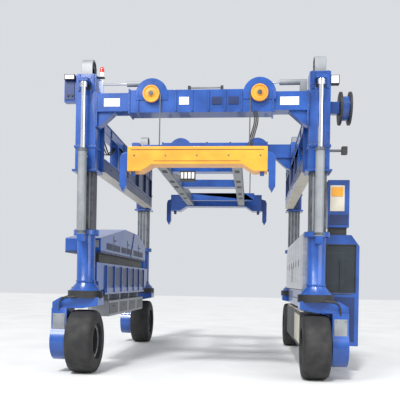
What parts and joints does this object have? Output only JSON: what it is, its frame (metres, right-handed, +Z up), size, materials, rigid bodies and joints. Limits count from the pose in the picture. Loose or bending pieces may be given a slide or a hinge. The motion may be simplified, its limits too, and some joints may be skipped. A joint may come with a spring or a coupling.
{
  "type": "straddle carrier",
  "caption": "Low straddle carrier with steered wheels on tall legs, a lifting portal frame, a side-shifting trolley and a roped container spreader.",
  "frame": {"origin": "centre of the overall box, on the ground under the tyres", "axes": "+Z up, +Y towards the rear of the machine, +X towards the side with the cab"},
  "size_m": [5.825, 7.424, 5.93],
  "materials": {
    "blue_paint": "gloss",
    "grey_paint": "satin",
    "dark_steel": "satin",
    "rod_chrome": "polished",
    "tyre_rubber": "matte",
    "orange_paint": "gloss",
    "silver_panel": "satin",
    "dark_plastic": "matte",
    "rope_wire": "greased"
  },
  "bodies": {
    "chassis": {"left_base_frame": "blue_paint", "right_base_frame": "blue_paint", "leg_fl": "blue_paint", "leg_fr": "blue_paint", "leg_rl": "blue_paint", "leg_rr": "blue_paint", "lift_barrel_fl": "grey_paint", "lift_barrel_fr": "grey_paint", "lift_barrel_rl": "grey_paint", "lift_barrel_rr": "grey_paint", "engine_hood": "blue_paint", "engine_block": "dark_steel", "battery_box": "dark_plastic", "equipment_cabinet": "silver_panel", "fuel_tank": "dark_plastic", "cab_shell": "blue_paint", "operator_seat": "dark_plastic", "cab_console": "grey_paint", "control_cabinet": "blue_paint"},
    "cab_door": {"cab_door": "blue_paint"},
    "upper_frame": {"sleeve_fl": "blue_paint", "sleeve_fr": "blue_paint", "sleeve_rl": "blue_paint", "sleeve_rr": "blue_paint", "lift_rod_fl": "rod_chrome", "lift_rod_fr": "rod_chrome", "lift_rod_rl": "rod_chrome", "lift_rod_rr": "rod_chrome", "front_beam": "blue_paint", "rear_beam": "blue_paint", "side_frame_left": "blue_paint", "side_frame_right": "blue_paint", "lamp_box": "blue_paint", "hose_reel": "blue_paint"},
    "trolley": {"front_carriage": "blue_paint", "rear_carriage": "blue_paint"},
    "spreader": {"spreader_front_beam": "orange_paint", "spreader_rear_beam": "blue_paint", "spreader_frame": "grey_paint", "front_rope_left": "rope_wire", "front_rope_right": "rope_wire", "rear_rope_left": "rope_wire", "rear_rope_right": "rope_wire"},
    "front_sheave_left": {"front_sheave_left": "orange_paint"},
    "front_sheave_right": {"front_sheave_right": "orange_paint"},
    "rear_sheave_left": {"rear_sheave_left": "orange_paint"},
    "rear_sheave_right": {"rear_sheave_right": "orange_paint"},
    "fork_fl": {"fork_fl": "blue_paint"},
    "wheel_fl": {"tyre_fl": "tyre_rubber", "wheel_hub_fl": "grey_paint"},
    "fork_fr": {"fork_fr": "blue_paint"},
    "wheel_fr": {"tyre_fr": "tyre_rubber", "wheel_hub_fr": "grey_paint"},
    "fork_rl": {"fork_rl": "blue_paint"},
    "wheel_rl": {"tyre_rl": "tyre_rubber", "wheel_hub_rl": "grey_paint"},
    "fork_rr": {"fork_rr": "blue_paint"},
    "wheel_rr": {"tyre_rr": "tyre_rubber", "wheel_hub_rr": "grey_paint"}
  },
  "joints": [
    {"name": "lift", "type": "slide", "parent": "chassis", "child": "upper_frame", "axis": [0, 0, 1], "range_m": [-0.85, 0.15]},
    {"name": "side_shift", "type": "slide", "parent": "upper_frame", "child": "trolley", "axis": [1, 0, 0], "range_m": [-0.2, 0.2]},
    {"name": "hoist", "type": "slide", "parent": "trolley", "child": "spreader", "axis": [0, 0, 1], "range_m": [-1.2, 0.35], "deforming": ["front_rope_left", "front_rope_right", "rear_rope_left", "rear_rope_right"]},
    {"name": "door_hinge", "type": "hinge", "parent": "chassis", "child": "cab_door", "pos_m": [2.8975, -1.002, 1.5], "axis": [0, 0, 1], "range_deg": [0, 100]},
    {"name": "front_sheave_left_turn", "type": "hinge", "parent": "trolley", "child": "front_sheave_left", "pos_m": [-1.0825, -3.232, 5.17], "axis": [0, 1, 0], "continuous": true},
    {"name": "front_sheave_right_turn", "type": "hinge", "parent": "trolley", "child": "front_sheave_right", "pos_m": [0.8875, -3.232, 5.17], "axis": [0, 1, 0], "continuous": true},
    {"name": "rear_sheave_left_turn", "type": "hinge", "parent": "trolley", "child": "rear_sheave_left", "pos_m": [-1.0825, 1.388, 5.17], "axis": [0, 1, 0], "continuous": true},
    {"name": "rear_sheave_right_turn", "type": "hinge", "parent": "trolley", "child": "rear_sheave_right", "pos_m": [0.8875, 1.388, 5.17], "axis": [0, 1, 0], "continuous": true},
    {"name": "steer_fl", "type": "hinge", "parent": "chassis", "child": "fork_fl", "pos_m": [-2.3425, -2.882, 1.43], "axis": [0, 0, 1], "range_deg": [-90, 90]},
    {"name": "spin_fl", "type": "hinge", "parent": "fork_fl", "child": "wheel_fl", "pos_m": [-2.3425, -2.882, 0.594], "axis": [1, 0, 0], "continuous": true},
    {"name": "steer_fr", "type": "hinge", "parent": "chassis", "child": "fork_fr", "pos_m": [1.9775, -2.882, 1.43], "axis": [0, 0, 1], "range_deg": [-90, 90]},
    {"name": "spin_fr", "type": "hinge", "parent": "fork_fr", "child": "wheel_fr", "pos_m": [1.9775, -2.882, 0.594], "axis": [1, 0, 0], "continuous": true},
    {"name": "steer_rl", "type": "hinge", "parent": "chassis", "child": "fork_rl", "pos_m": [-2.3425, 3.118, 1.43], "axis": [0, 0, 1], "range_deg": [-90, 90]},
    {"name": "spin_rl", "type": "hinge", "parent": "fork_rl", "child": "wheel_rl", "pos_m": [-2.3425, 3.118, 0.594], "axis": [1, 0, 0], "continuous": true},
    {"name": "steer_rr", "type": "hinge", "parent": "chassis", "child": "fork_rr", "pos_m": [1.9775, 3.118, 1.43], "axis": [0, 0, 1], "range_deg": [-90, 90]},
    {"name": "spin_rr", "type": "hinge", "parent": "fork_rr", "child": "wheel_rr", "pos_m": [1.9775, 3.118, 0.594], "axis": [1, 0, 0], "continuous": true}
  ]
}
